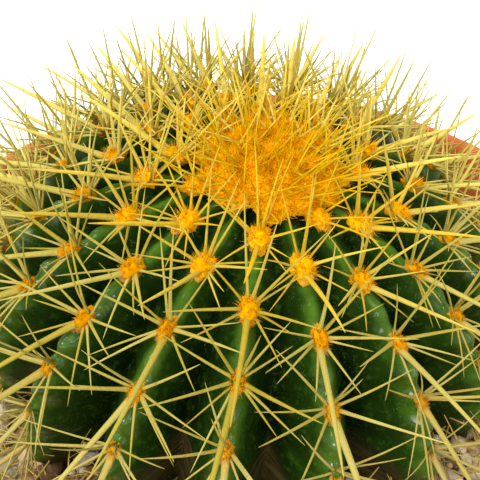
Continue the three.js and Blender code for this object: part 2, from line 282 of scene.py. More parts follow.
class Value:
    """A shader socket that can stand in a Python expression. Operators add Math nodes."""

    def __init__(self, finish, socket):
        self.finish = finish
        self.socket = socket

    def maths(self, operation, one, other):
        return self.finish.node("Math", {"operation": operation}, 0, one, other)

    def __add__(self, other):
        return self.maths("ADD", self, other)

    def __sub__(self, other):
        return self.maths("SUBTRACT", self, other)

    def __rsub__(self, other):
        return self.maths("SUBTRACT", other, self)

    def __mul__(self, other):
        return self.maths("MULTIPLY", self, other)

    __radd__ = __add__
    __rmul__ = __mul__

    def between(self, low, high):
        """0 below `low`, 1 above `high`, smooth between them."""
        settings = {"interpolation_type": "SMOOTHSTEP"}
        return self.finish.node("MapRange", settings, 0, self, low, high)


class Finish:
    """One material: a Principled surface with constants on its own sockets and patterns worked out
    from Object coordinates and the piece's own marks."""

    def __init__(self, name, **constants):
        self.material = bpy.data.materials.new(name)
        self.material.use_nodes = True
        self.tree = self.material.node_tree
        self.surface = self.tree.nodes["Principled BSDF"]
        for key, value in constants.items():
            self.surface.inputs[key.replace("_", " ")].default_value = value

    def feed(self, node, key, value):
        """Links a value to a socket, or sets the socket to a constant."""
        if isinstance(value, Value):
            self.tree.links.new(value.socket, node.inputs[key])
        else:
            node.inputs[key].default_value = value

    def node(self, kind, settings, output, *values, **named):
        """Any node: its type, its settings, which output to take, and the values or links of its
        sockets in order or by name."""
        made = self.tree.nodes.new("ShaderNode" + kind)
        for key, value in settings.items():
            if key == "stops":
                self.set_stops(made.color_ramp, value)
            else:
                setattr(made, key, value)
        for place, value in enumerate(values):
            self.feed(made, place, value)
        for key, value in named.items():
            self.feed(made, key.replace("_", " "), value)
        return Value(self, made.outputs[output])

    @staticmethod
    def set_stops(ramp, stops):
        """Bands of plain colour: each holds from its stop to the next one."""
        ramp.interpolation = "CONSTANT"
        while len(ramp.elements) < len(stops):
            ramp.elements.new(1)
        for element, (place, colour) in zip(ramp.elements, stops):
            element.position = place
            element.color = (*colour, 1)

    def place(self, stretch=(1, 1, 1)):
        """Object coordinates, stretched along the axes."""
        object_place = self.node("TexCoord", {}, "Object")
        return self.node("Mapping", {}, 0, object_place, Scale=stretch)

    def mark(self, name):
        return self.node("Attribute", {"attribute_name": name}, "Fac")

    def noise(self, scale, detail=3, vector=None):
        """Cloudy noise with features about 1 / scale metres across."""
        vector = vector or self.place()
        return self.node("TexNoise", {}, "Fac", Vector=vector, Scale=scale, Detail=detail)

    def cells(self, scale, output="Distance"):
        """Cells about 1 / scale metres across: the distance from their centres, or a colour."""
        return self.node("TexVoronoi", {}, output, Vector=self.place(), Scale=scale)

    def ramp(self, value, stops):
        return self.node("ValToRGB", {"stops": stops}, 0, value)

    def mix(self, share, one, other):
        """`one` where the share is 0 and `other` where it is 1, as colours."""
        made = self.node("Mix", {"data_type": "RGBA"}, 2, share)
        for place, colour in ((6, one), (7, other)):
            colour = colour if isinstance(colour, Value) else (*colour, 1)
            self.feed(made.socket.node, place, colour)
        return made

    def set(self, key, value):
        self.feed(self.surface, key, value)

    def relief(self, height, depth):
        """Fine relief: `height` from 0 to 1 stands for `depth` metres."""
        self.set("Normal", self.node("Bump", {}, 0, Strength=1.0, Distance=depth, Height=height))


# Finishes

def terracotta():
    """Fired clay: throwing rings, fine grain, dark specks and pale lime bloom; the inside is
    darkened a little all over as painted shade, and more near the gravel, where the clay is wet."""
    f = Finish("terracotta_clay", Specular_IOR_Level=0.15)
    cloud = f.noise(14, 5)
    grain = f.noise(900, 2)
    colour = f.mix(cloud.between(0.3, 0.7), (0.43, 0.095, 0.020), (0.57, 0.14, 0.032))
    specks = f.cells(420).between(0.16, 0.1) * f.noise(60).between(0.45, 0.65)
    colour = f.mix(specks * 0.55, colour, (0.16, 0.05, 0.025))
    bloom = f.noise(26, 6).between(0.54, 0.74) * f.noise(140, 3).between(0.35, 0.7)
    colour = f.mix(bloom * 0.32, colour, (0.70, 0.48, 0.36))
    # Painted shade darkens the whole inside of the pot, and the wet clay near the gravel darker
    # still.
    colour = f.mix(f.mark("damp") * 0.8, colour, (0.17, 0.045, 0.018))
    f.set("Base Color", colour)
    f.set("Roughness", 0.72 + cloud * 0.18)
    rings = f.noise(60, 2, f.place((0.04, 0.04, 4)))
    f.relief(grain * 0.35 + rings * 0.65, 0.0005)
    return f.material


def potting_soil():
    """Dark crumbly mix with a few pale grains."""
    f = Finish("dark_potting_soil", Specular_IOR_Level=0.2)
    crumbs = f.cells(300)
    colour = f.mix(crumbs.between(0.1, 0.7), (0.05, 0.032, 0.02), (0.016, 0.01, 0.007))
    colour = f.mix(f.cells(170).between(0.12, 0.08), colour, (0.4, 0.33, 0.25))
    f.set("Base Color", colour)
    f.set("Roughness", 0.85 + f.noise(200) * 0.12)
    f.relief(1 - crumbs, 0.0015)
    return f.material


# Colours of the gravel, each from its place among the stones' tones up to the next one's
GRAVEL_TONES = [
    (0.0, (0.98, 0.87, 0.67)),
    (0.24, (0.68, 0.44, 0.20)),
    (0.38, (0.42, 0.24, 0.09)),
    (0.5, (0.84, 0.61, 0.33)),
    (0.67, (0.50, 0.28, 0.13)),
    (0.77, (0.38, 0.36, 0.25)),
    (0.83, (0.20, 0.11, 0.05)),
    (0.89, (0.95, 0.79, 0.54)),
]


def gravel_stone():
    """Mixed crushed stone: quartz white, tans, browns, pinkish brown and olive grey, veined and
    dusty."""
    f = Finish("mixed_gravel_stone", Specular_IOR_Level=0.1)
    colour = f.ramp(f.mark("tone"), GRAVEL_TONES)
    vein = f.noise(260, 5)
    colour = f.mix(vein.between(0.35, 0.7) * 0.25, colour, (0.26, 0.15, 0.07))
    colour = f.mix(f.noise(700, 2).between(0.55, 0.75) * 0.3, colour, (0.80, 0.64, 0.42))
    f.set("Base Color", f.mix(0.86 + f.mark("shade") * 0.14, (0, 0, 0), colour))
    f.set("Roughness", 0.5 + vein * 0.35)
    f.relief(f.noise(1100, 3), 0.0005)
    return f.material


def grit():
    """Fine grit in the colours of the stones, darker between its grains."""
    f = Finish("fine_brown_grit", Specular_IOR_Level=0.1)
    tone = f.node("SeparateColor", {}, 0, f.cells(620, "Color"))
    dark = f.cells(620).between(0.25, 0.6)
    colour = f.ramp(tone, GRAVEL_TONES)
    f.set("Base Color", f.mix(0.45 + dark * 0.4, colour, (0.055, 0.033, 0.02)))
    f.set("Roughness", 0.75 + tone * 0.2)
    f.relief(1 - dark, 0.001)
    return f.material


def cactus_skin():
    """Waxy skin: bright green on the crests as painted light, near black in the valleys as painted
    shade, paler specks, and old flesh near the gravel that is grey-brown and corky with cross
    lines, the cork painted near black as shade at the foot of the valleys."""
    f = Finish("waxy_green_skin", Specular_IOR_Level=0.1, Specular_Tint=(0.6, 1, 0.2, 1),
               Coat_Roughness=0.1)
    crest = f.mark("crest")
    age = f.mark("age")
    cloud = f.noise(70, 5)
    mottle = f.noise(260, 4)
    # Painted light and shade: the crest band is painted bright green as if lit, and the valleys
    # near black as painted shade.
    lit = (crest + (mottle - 0.5) * 0.45 + (cloud - 0.5) * 0.2).between(0.7, 1.1)
    low = f.mix(crest, (0.0013, 0.0062, 0.0004), (0.012, 0.037, 0.0022))
    colour = f.mix(lit, low, (0.062, 0.145, 0.010))
    colour = f.mix(mottle.between(0.5, 0.7) * 0.4, colour, (0.010, 0.034, 0.002))
    colour = f.mix(f.noise(520, 3).between(0.52, 0.72) * 0.2, colour, (0.07, 0.15, 0.02))
    specks = f.cells(1300).between(0.22, 0.12) * f.noise(120).between(0.42, 0.58)
    colour = f.mix(specks * 0.22, colour, (0.30, 0.40, 0.18))
    lines = f.noise(330, 4, f.place((0.16, 0.16, 3.2)))
    tired = age * (0.55 + lines * 0.9 + (1 - crest) * 0.7)
    colour = f.mix(tired.between(0.35, 1.1) * 0.8, colour, (0.035, 0.026, 0.010))
    # The cork is real; its near-black tone is also painted shade at the foot of the valleys.
    bark_and_shade = f.mix(lines.between(0.35, 0.65), (0.018, 0.014, 0.005), (0.062, 0.046, 0.017))
    cork = (age + (lines - crest) * 0.5).between(0.55, 0.95)
    f.set("Base Color", f.mix(cork, colour, bark_and_shade))
    f.set("Roughness", 0.4 + cloud * 0.14 + cork * 0.35 + (1 - crest.between(0.1, 0.6)) * 0.45)
    fresh = 1 - tired.between(0.3, 0.9)
    f.set("Coat Weight", fresh * crest.between(0.65, 0.97) * f.mark("belly"))
    f.relief(mottle * (0.45 + age * 0.2) + lines * age * 0.9, 0.0007)
    return f.material


def felt():
    """Areole felt: bright orange-yellow at the crown, darker orange on the older areoles, and tan
    at a pad's lower end and low on the plant."""
    f = Finish("orange_areole_felt", Specular_IOR_Level=0.0, Roughness=0.95)
    tuft = f.noise(900, 4)
    fresh = f.mix(tuft.between(0.3, 0.7), (0.96, 0.39, 0.002), (0.96, 0.51, 0.004))
    worn = f.mix(tuft.between(0.3, 0.7), (0.52, 0.19, 0.0004), (0.55, 0.28, 0.0008))
    colour = f.mix(f.mark("tone"), worn, fresh)
    colour = f.mix(f.mark("age").between(0.2, 1.0) * 0.5, colour, (0.56, 0.29, 0.03))
    low = (f.mark("low") + (tuft - 0.5) * 0.8).between(0.3, 0.95)
    f.set("Base Color", f.mix(low, colour, (0.50, 0.33, 0.13)))
    f.relief(tuft, 0.0004)
    return f.material


def spine(name, gloss):
    """Spine horn: golden at the crown and straw-yellow lower down, paler at the back as painted
    light for the glow of backlit spines, orange-brown at each spine's base, faintly ringed, and tan
    and dry at the bottom of the plant."""
    f = Finish(name, Specular_IOR_Level=gloss, Coat_Roughness=0.3)
    age = f.mark("age")
    tone = f.mark("tone")
    rings = f.noise(1500, 2)
    gold = f.mix(tone, (0.61, 0.35, 0.001), (0.60, 0.44, 0.004))
    straw = f.mix(tone, (0.30, 0.235, 0.014), (0.40, 0.35, 0.085))
    straw = f.mix(age.between(0.2, 0.8) * 0.6, straw, (0.41, 0.35, 0.13))
    colour = f.mix(f.mark("gold"), straw, gold)
    # Painted light: spines at the back are mixed towards pale straw, standing for light shining
    # through them.
    colour = f.mix(f.mark("pale") * 0.7, colour, (0.66, 0.56, 0.12))
    dry = (age + (tone - 0.5) * 0.2).between(0.78, 1.0)
    colour = f.mix(dry, colour, (0.47, 0.35, 0.085))
    colour = f.mix(rings.between(0.45, 0.65) * 0.2, colour, (0.43, 0.30, 0.03))
    root = (0.1 - f.mark("along")).between(0.0, 0.1)
    f.set("Base Color", f.mix(root * 0.45, colour, (0.62, 0.28, 0.012)))
    f.set("Roughness", 0.42 + rings * 0.2)
    f.relief(rings, 0.0002)
    return f.material


# Pot

def rounded_outline(corners, steps=5):
    """A closed outline whose corners are cut back by their radius and rounded by a parabola
    between the two cuts. Each corner is (radius, height, rounding)."""
    corner = np.array([c[:2] for c in corners], float)
    rounding = np.array([c[2] for c in corners], float)[:, None]
    before = corner + unit(np.roll(corner, 1, 0) - corner) * rounding
    after = corner + unit(np.roll(corner, -1, 0) - corner) * rounding
    t = np.linspace(0, 1, steps)[None, :, None]
    curve = (1 - t) ** 2 * before[:, None] + 2 * t * (1 - t) * corner[:, None]
    curve = curve + t * t * after[:, None]
    return curve.reshape(-1, 2)


def densely(outline, longest):
    """The closed outline with its long edges cut into pieces no longer than `longest`."""
    following = np.roll(outline, -1, 0)
    pieces = []
    for start, end in zip(outline, following):
        count = max(1, math.ceil(np.linalg.norm(end - start) / longest))
        share = np.arange(count)[:, None] / count
        pieces.append(start + (end - start) * share)
    return np.concatenate(pieces)


def inner_radius(height):
    """Radius of the pot's sloping inner wall."""
    low, high = FLOOR + FLOOR_CHAMFER, POT_HEIGHT - EDGE_ROUND
    return INNER_FLOOR + (INNER_TOP - INNER_FLOOR) * (height - low) / (high - low)


def pot():
    """The rounded outline turned about the axis, out of true by up to a quarter of a millimetre.
    Its mark darkens the inner wall: a little all over as painted shade, and more where the clay is
    wet, at the gravel and below."""
    collar = POT_HEIGHT - RIM_HEIGHT
    neck = RIM_RADIUS - RIM_TAPER - RIM_STEP
    outline = densely(rounded_outline([
        (DRAIN_RADIUS, 0, 1),
        (BASE_RADIUS, 0, EDGE_ROUND),
        (neck, collar - RIM_STEP / 2, 2),
        (RIM_RADIUS - RIM_TAPER, collar, 2),
        (RIM_RADIUS, POT_HEIGHT, 3.6),
        (INNER_TOP, POT_HEIGHT, 3),
        (INNER_FLOOR - 0.5, FLOOR, FLOOR_CHAMFER),
        (DRAIN_RADIUS, FLOOR, 1),
    ]), LONGEST_EDGE)
    angle = TURN * np.arange(POT_SIDES) / POT_SIDES
    radius, height = outline[:, 0, None], outline[:, 1, None]
    points = round_axis(radius, angle, height)
    out = points * [1, 1, 0] / np.maximum(radius, 1)[..., None]
    points = points - out * (0.13 + 0.12 * ripple(points, 60, 4))[..., None]
    inside = (radius < inner_radius(height) + 2) & (height > FLOOR)
    wet = 1 - smooth(GRAVEL_TOP, GRAVEL_TOP + DAMP_RISE, height)
    # A quarter share all over the inner wall is painted shade; the wet clay at the gravel and below
    # adds the rest.
    damp = np.where(inside, 0.25 + 0.75 * wet, 0)
    return points, [grid_quads(len(outline), POT_SIDES, True)[:, ::-1]], {"damp": damp}


# Cactus body

def azimuth_at(rib):
    """Angle round the body: 2 pi rib / 20, with the ribs closer together on the left and at the
    back."""
    even = TURN * rib / RIBS
    return even + UNEVENNESS * np.sin(even + UNEVEN_PHASE)


def off_crest(rib):
    """0 on a crest and 1 in a valley."""
    return 2 * np.abs(rib - np.round(rib))


def crest_at(polar):
    """Radius, height and outward normal of the crest line: a superellipse of power 2.6."""
    exponent = 2 / PROFILE_POWER
    flattening = np.where(polar < math.pi / 2, CROWN_FLATTENING, BASE_FLATTENING)
    sine = np.maximum(np.sin(polar), 0)
    radius = BODY_RADIUS * power(sine, exponent)
    height = BODY_RADIUS * flattening * power(np.cos(polar), exponent)
    across = power(sine, 2 - exponent)
    along = power(np.cos(polar), 2 - exponent) / flattening
    size = np.hypot(across, along)
    return radius, height, across / size, along / size


def depth_at(polar):
    """Depth of the valleys: none at the crown, full on the shoulder, fading towards the root."""
    return RIB_DEPTH * smooth(0.1, 0.95, polar) * (1 - smooth(1.7, 2.4, polar))


def shift_of(rib):
    """A rib's first areole lies this share of a step below the crown's edge."""
    return (2 * np.mod(rib, RIBS)) % 5 / 5


def polar_at(step):
    return AREOLE_START + AREOLE_STEP * step + AREOLE_GROWTH * step * step


def step_at(polar):
    """The inverse of polar_at."""
    root = np.sqrt(AREOLE_STEP**2 - 4 * AREOLE_GROWTH * (AREOLE_START - polar))
    return (root - AREOLE_STEP) / (2 * AREOLE_GROWTH)


def swell(rib, polar):
    """Height of the skin over the plain crest: a mound under each areole, a belly halfway to the
    next, and a shallow furrow across the flanks beside each areole."""
    off = off_crest(rib)
    place = step_at(polar) - shift_of(np.round(rib))
    near = place - np.round(place)
    grown = smooth(0.2, 0.6, polar) * (1 - smooth(1.75, 2.2, polar))
    mound = 1.7 * bump(near, 0.15) * bump(off, 0.34)
    belly = 2.3 * bump(np.abs(near) - 0.5, 0.22) * bump(off, 0.5)
    furrow = 2.2 * bump(near, 0.15) * smooth(0.28, 0.5, off) * (1 - smooth(0.75, 1, off))
    return grown * (mound + belly - furrow)


def body_point(rib, polar, lift=0):
    """A point of the ribbed skin in the body's own frame. Across a rib the skin drops along the
    crest's normal by a hyperbola: round at the crest, straight down the flanks, sharp in the
    valley."""
    radius, height, normal_out, normal_up = crest_at(polar)
    span = math.hypot(CREST_SOFTNESS, 1) - CREST_SOFTNESS
    fall = np.hypot(CREST_SOFTNESS, off_crest(rib)) - CREST_SOFTNESS
    lift = lift - depth_at(polar) * fall / span
    return from_front(radius + lift * normal_out, azimuth_at(rib), height + lift * normal_up)


# Columns across a rib. Rings down the skin as first polar angle, last and number: fine ones, then
# coarse ones under the gravel
RIB_COLUMNS = 18
FINE_RINGS = (0.012, 1.8, 152)
COARSE_RINGS = (1.84, math.pi - 0.11, 18)
ROOT_RINGS = 7
COLUMN_CROWDING = 0.035
SKIN_UNEVENNESS = 0.35
OLD_FLESH_HEIGHT = 40


def body():
    """Skin of the body from the apex down, closed by the tapering root. Columns stand closer at the
    crests and valleys than on the flanks. Its marks give the crests, the old flesh near the gravel
    and the waxy bellies between areoles."""
    column = np.arange(RIBS * RIB_COLUMNS) / RIB_COLUMNS
    rib = (column - COLUMN_CROWDING * np.sin(2 * TURN * column))[None]
    polar = np.concatenate([np.linspace(*FINE_RINGS), np.linspace(*COARSE_RINGS)])[:, None]
    skin = body_point(rib, polar, swell(rib, polar))
    uneven = SKIN_UNEVENNESS * ripple(skin, 22, 1) * smooth(0.2, 0.6, polar)
    skin = skin + unit(skin) * uneven[..., None]
    share = np.linspace(0, 1, ROOT_RINGS)[:, None]
    root_radius = ROOT_RADIUS + (ROOT_TIP - ROOT_RADIUS) * share
    low = skin[-1, :, 2].mean() - 1
    root = from_front(root_radius, azimuth_at(rib), low + (ROOT_LOW + 1 - low) * share)
    rings = np.concatenate([skin, root])
    poles = np.array([[0, 0, BODY_RADIUS * CROWN_FLATTENING], [0, 0, ROOT_LOW]])
    points = placed(np.concatenate([rings.reshape(-1, 3), poles]))
    world = placed(rings)
    height = world[..., 2] + 6 * ripple(world, 30, 2)
    age = 1 - smooth(GRAVEL_TOP, GRAVEL_TOP + OLD_FLESH_HEIGHT, height)
    crest = 1 - smooth(0, 1, off_crest(rib)) + 0 * polar
    place = np.mod(step_at(polar) - shift_of(np.round(rib)), 1)
    belly = smooth(0.25, 0.45, place) * (1 - smooth(0.85, 0.97, place)) * smooth(0.35, 0.8, polar)
    on_root = np.zeros((ROOT_RINGS, rib.size))
    marks = {
        "crest": np.append(np.concatenate([crest, on_root]), [0.5, 0]),
        "age": np.append(age, [0, 1]),
        "belly": np.append(np.concatenate([belly, on_root]), [0, 0]),
    }
    return points, closed_faces(len(rings), rib.size), marks


# Areoles

def areole_frames(rib, step, lift):
    """Areoles at steps down their ribs, each with its frame on the crest: down the rib, to the side
    and out of the skin. `lift` gives their height over the skin from their polar angle."""
    polar = polar_at(step + shift_of(rib))
    down = unit(body_point(rib, polar + 0.02) - body_point(rib, polar - 0.02))
    side = round_axis(1, azimuth_at(rib), 0)
    return {
        "rib": rib,
        "step": step,
        "polar": polar,
        "origin": placed(body_point(rib, polar, lift(polar))),
        "down": turned_with_body(down),
        "side": turned_with_body(side),
        "out": turned_with_body(unit(np.cross(down, side))),
    }


def areoles():
    """Every areole outside the crown that stands clear of the gravel."""
    rib, step = np.meshgrid(np.arange(RIBS), np.arange(AREOLES_A_RIB), indexing="ij")
    every = areole_frames(rib.ravel(), step.ravel(), lambda polar: AREOLE_RISE / 2)
    on_skin = placed(body_point(every["rib"], every["polar"]))
    return chosen(every, on_skin[:, 2] > GRAVEL_TOP + AREOLE_MARGIN)


def crown_areoles():
    """The youngest areoles, one step up the rib from the others and already inside the crown's
    felt."""
    rib = np.arange(RIBS)
    rib = rib[shift_of(rib) > 0.1]
    step = np.full(len(rib), -1)
    return areole_frames(rib, step, lambda polar: CROWN_SEAT + YOUNG_RISE + 0.5 * dome_at(polar))


def age_of(height):
    """0 well up the body, and 1 where the spines are dry and tan, just over the gravel."""
    return 1 - smooth(GRAVEL_TOP - 4, GRAVEL_TOP + 74, height)


PAD_RINGS = 8
PAD_SIDES = 16
PAD_FIBRES = 150
PAD_HAIR = 0.08
# Pads and spines age like skin that lies this much lower
PAD_FADE = 14
SPINE_FADE = 6


def fibres(start, direction, length, radius):
    """Fine hairs: three-sided needles from a small triangle round the start to a point."""
    aside = unit(np.cross(direction, [0.31, 0.83, 0.47]))
    other = np.cross(direction, aside)
    angle = (TURN * np.arange(3) / 3)[None, :, None]
    ring = np.cos(angle) * aside[:, None] + np.sin(angle) * other[:, None]
    tip = (start + direction * length[:, None])[:, None]
    points = np.concatenate([start[:, None] + ring * radius, tip], 1)
    faces = np.array([[0, 1, 3], [1, 2, 3], [2, 0, 3], [2, 1, 0]])
    return points, repeated([faces], 4, len(start))


def pads(seats):
    """Felt pads: an egg-shaped dome on each areole, longer down the rib than across, narrower at
    its lower end and smaller with age, with lumps, and a coat of short hairs that stand out from
    it. Near the crown they are fresh: wider, brighter and with longer hairs."""
    number = np.arange(len(seats["rib"]))
    young = 1 - smooth(0.35, 1.25, seats["polar"])
    fresh = 1 - smooth(0.25, 0.6, seats["polar"])
    tired = age_of(seats["origin"][:, 2] - PAD_FADE)
    shrunk = 1 - 0.4 * tired
    wide = (2.0 + 1.1 * fresh + 0.25 * swing(number, 1, 61)) * shrunk
    tall = (4.1 + 0.4 * fresh + 0.4 * swing(number, 2, 62)) * (1 - 0.55 * tired)
    high = (1.4 + 1.5 * young) * shrunk
    size = np.stack([wide, tall, high], -1)
    axes = np.stack([seats["side"], seats["down"], seats["out"]], 1)
    middle = seats["origin"] - seats["out"] * 0.9 + seats["down"] * 0.7

    def laid(shape, which):
        flat = np.einsum("kni,kij->knj", shape * size[which][:, None], axes[which])
        return middle[which][:, None] + flat

    rise = np.linspace(0.02, 1, PAD_RINGS)[:, None] * math.pi / 2
    angle = TURN * np.arange(PAD_SIDES) / PAD_SIDES
    egg = round_axis(np.sin(rise), angle, np.cos(rise)).reshape(-1, 3)
    egg = np.concatenate([egg, [[0, 0, 1], [0, 0, -0.5]]])
    egg[:, 0] *= 1 - 0.2 * egg[:, 1]
    lumps = 1 + 0.17 * ripple(egg[None] * 2.7 + number[:, None, None] * 7.3, 1.3, 9)
    dome = laid(egg[None] * lumps[..., None], number)
    dome_faces = repeated(closed_faces(PAD_RINGS, PAD_SIDES), len(egg), len(number))
    dome_marks = {
        "low": smooth(-0.1, 0.95, egg[:, 1]) * (1 - 0.6 * young[:, None]),
        "age": tired[:, None],
        "tone": (fresh * (0.6 + 0.4 * chance(number, 3, 63)))[:, None],
    }

    which = np.repeat(number, PAD_FIBRES)
    hair = np.arange(len(which))
    around = TURN * chance(hair, 4, 64)
    out = np.sqrt(chance(hair, 5, 65))
    foot = round_axis(out, around, np.sqrt(1.02 - out**2))
    start = laid(foot[:, None] * 0.93, which)[:, 0]
    lean = foot + 0.5 * np.stack([swing(hair, k, 66) for k in (6, 7, 8)], -1)
    direction = unit(np.einsum("ki,kij->kj", unit(lean) * [1, 1, 0.8], axes[which]))
    length = (0.8 + 1.0 * chance(hair, 9, 67)) * (0.95 + 0.9 * fresh[which]) * shrunk[which]
    hairs, hair_faces = fibres(start, direction, length, PAD_HAIR)
    low = smooth(-0.1, 0.95, foot[:, 1]) * (1 - 0.6 * young[which]) + 0.6 * out**3
    hair_marks = {
        "low": low[:, None],
        "age": tired[which, None],
        "tone": (0.35 + 0.65 * fresh[which] * chance(hair, 10, 68))[:, None],
    }
    return joined([(dome, dome_faces, dome_marks), (hairs, hair_faces, hair_marks)])


# Spines

SPINE_RINGS = np.array([0, 0.05, 0.16, 0.34, 0.54, 0.74, 0.89, 0.97])
SPINE_FLATNESS = 0.62


def points_along(lines, shares):
    """The points of every spine at the shares u of its length:
    start + length (u direction + u^2 droop / 2)."""
    u = shares[None, :, None]
    start, direction, droop = (lines[key][:, None] for key in ("start", "direction", "droop"))
    return start + lines["length"][:, None, None] * (u * direction + 0.5 * u * u * droop)


def horns(lines, sides):
    """Tapering flattened spines along gentle curves. At the share u of its length a spine is
    width (1.06 - 0.66 u) sqrt(1 - u^5) wide, a quarter more at its base, and flatter than that."""
    u = SPINE_RINGS[None, :, None]
    wide = unit(np.cross(lines["direction"], lines["face"]))
    deep = unit(np.cross(wide, lines["direction"]))
    half = lines["width"][:, None, None] / 2 * (1.06 - 0.66 * u)
    half = half * np.sqrt(1 - u**5) * (1 + 0.25 * bump(u, 0.06))
    angle = (TURN * np.arange(sides) / sides)[:, None]
    flat = SPINE_FLATNESS * np.sin(angle)
    ring = np.cos(angle) * wide[:, None, None] + flat * deep[:, None, None]
    rings = points_along(lines, SPINE_RINGS)[:, :, None] + half[..., None] * ring
    count = len(rings)
    ends = points_along(lines, np.array([0, 1]))
    points = np.concatenate([rings.reshape(count, -1, 3), ends], 1)
    marks = {
        "along": np.append(np.repeat(SPINE_RINGS, sides), [0, 1]),
        "age": age_of(lines["start"][:, 2:] - SPINE_FADE),
        "tone": chance(np.arange(count), 11, 71)[:, None],
        "gold": np.reshape(lines.get("gold", 0), (-1, 1)),
        "pale": np.reshape(lines.get("pale", 0), (-1, 1)),
    }
    return points, repeated(closed_faces(len(SPINE_RINGS), sides), points.shape[1], count), marks


# The strong spines of an areole: turn from the downward tangent, rise from the skin, length, width
STRONG = [(0, 40, 1.0, 1.75), (180, 64, 0.82, 1.0), (82, 44, 0.64, 1.0), (-82, 44, 0.64, 1.0)]
# The radial spines, spread like a star between them
RADIAL = [
    (30, 16, 0.42, 0.76), (-32, 18, 0.44, 0.76), (58, 24, 0.42, 0.7), (-57, 20, 0.44, 0.7),
    (116, 30, 0.52, 0.74), (-114, 32, 0.54, 0.74), (150, 46, 0.7, 0.8), (-152, 44, 0.7, 0.8),
    (98, 58, 0.66, 0.74), (-100, 60, 0.66, 0.74), (164, 78, 0.74, 0.8), (-166, 34, 0.66, 0.8),
]
# So many spines of a plan grow on most areoles, and the others only towards the back
MOSTLY_GROWN = 8
# The spines of the young areoles inside the crown
YOUNG = [
    (6, 42, 0.78, 0.85), (44, 46, 0.66, 0.72), (-40, 46, 0.66, 0.72), (84, 52, 0.6, 0.7),
    (-86, 52, 0.6, 0.7), (136, 60, 0.56, 0.7), (-140, 62, 0.56, 0.7),
]


def reach_at(polar):
    """Spines are longest on the shoulder, and shorter at the crown and near the gravel."""
    return (0.76 + 0.24 * smooth(0.15, 0.75, polar)) * (1 - 0.38 * smooth(1.25, 1.8, polar))


def spine_lines(seats, plan, first, uneven, spread, complete=False):
    """Every spine of the plan on every areole: where it starts, its direction, length, width and
    droop. It starts `spread` mm from the areole's middle, half as far again on the lower side and
    closer on small old pads. Chance turns it by up to 17 degrees, tips it by up to 9 and, unless
    the plan is complete, leaves it out. `first` keeps the chances of the plans apart."""
    count, slots = len(seats["rib"]), len(plan)
    here = chosen(seats, np.repeat(np.arange(count), slots))
    slot = np.tile(np.arange(slots), count)
    turn, rise, reach, width = np.array(plan, float)[slot].T
    origin, out = here["origin"], here["out"]

    def draw(quality):
        return chance(here["rib"], here["step"], slot + first + quality)

    def drift(quality):
        return 2 * draw(quality) - 1

    around = np.radians(turn + 17 * drift(0))[:, None]
    up = np.radians(rise + 9 * drift(20))[:, None]
    across = here["down"] * np.cos(around) + here["side"] * np.sin(around)
    direction = across * np.cos(up) + out * np.sin(up)
    below = 1 + 0.5 * np.maximum(np.cos(around), 0)
    gathered = (1 - 0.5 * age_of(origin[:, 2] - PAD_FADE))[:, None]
    aside = np.cross(direction, out)
    bow = unit(np.cross(aside, direction)) * -(0.24 * draw(60))[:, None]
    far = smooth(0, 1.2, 1 - np.cos(azimuth_at(here["rib"])))
    thick = width * (1 + 0.12 * drift(90)) * (0.94 + 0.42 * far)
    lines = {
        **here,
        "start": origin + across * spread * gathered * below,
        "direction": direction,
        "droop": bow + unit(aside) * (0.08 * drift(80))[:, None],
        "face": out + 0.3 * across,
        "length": SPINE_LENGTH * reach * reach_at(here["polar"]) * (1 + uneven * drift(40)),
        "width": thick * (1 - 0.12 * age_of(origin[:, 2])),
        # Painted light: spines towards the back get a pale mark, which paints them lighter as if
        # lit through.
        "pale": smooth(0.5, 1, far) * (0.5 + 0.5 * draw(130)),
        "gold": 1 - smooth(0.1, 0.55, here["polar"]),
    }
    grown = 0.8 + 1.1 * far - 0.95 * (slot >= MOSTLY_GROWN)
    return chosen(lines, complete | (draw(110) < grown))


PEBBLE_CLEARANCE = 4
WALL_CLEARANCE = 2.5
BEND_STEPS = 14
BEND = 0.12
SHORTENING = 0.96


def is_clear(lines):
    """Whether each spine keeps off the gravel and the pot's wall."""
    point = points_along(lines, np.linspace(0.125, 1, 8))
    from_axis = np.hypot(point[..., 0], point[..., 1])
    height = point[..., 2]
    low = height < GRAVEL_TOP + PEBBLE_CLEARANCE
    by_wall = from_axis > inner_radius(height) - WALL_CLEARANCE
    return ~(low | (by_wall & (height < POT_HEIGHT + WALL_CLEARANCE))).any(1)


def bent_clear(lines):
    """A spine that would touch is bent step by step towards the open side and shortened a little
    each time. One that still touches after the last step is left out."""
    low = (lines["polar"] > 0.8)[:, None]
    escape = unit(lines["out"] + np.where(low, [0, 0, 1.2], 0.6 * lines["down"]))
    for _ in range(BEND_STEPS):
        touching = ~is_clear(lines)
        bent = unit(lines["direction"] * (1 - BEND) + escape * BEND)
        lines["direction"] = np.where(touching[:, None], bent, lines["direction"])
        lines["length"] = np.where(touching, lines["length"] * SHORTENING, lines["length"])
    return chosen(lines, is_clear(lines))


# Woolly crown

TUFTS = 36
TUFT_WIDTH = 2.6
TUFT_HEIGHT = 3.4
CAP_RINGS = 30
CAP_SIDES = 110
CAP_FIBRES = 18000
CAP_HAIR = 0.15
YOUNG_SPINES = 2
CROWN_SPINE_WIDTH = 0.62


def dome_at(polar):
    """Thickness of the felt cap: a parabola, thin at its edge."""
    return CROWN_RIM + CROWN_WOOL * (1 - (polar / CROWN_EDGE) ** 2)


def spiral(count, spread=1.0):
    """Places in a sunflower spiral over the crown: share of the way out, azimuth and polar
    angle."""
    number = np.arange(count)
    share = np.sqrt((number + 0.5) / count)
    polar = np.arcsin((spread * share) ** (PROFILE_POWER / 2) * math.sin(CROWN_EDGE))
    return share, GOLDEN_ANGLE * number, polar


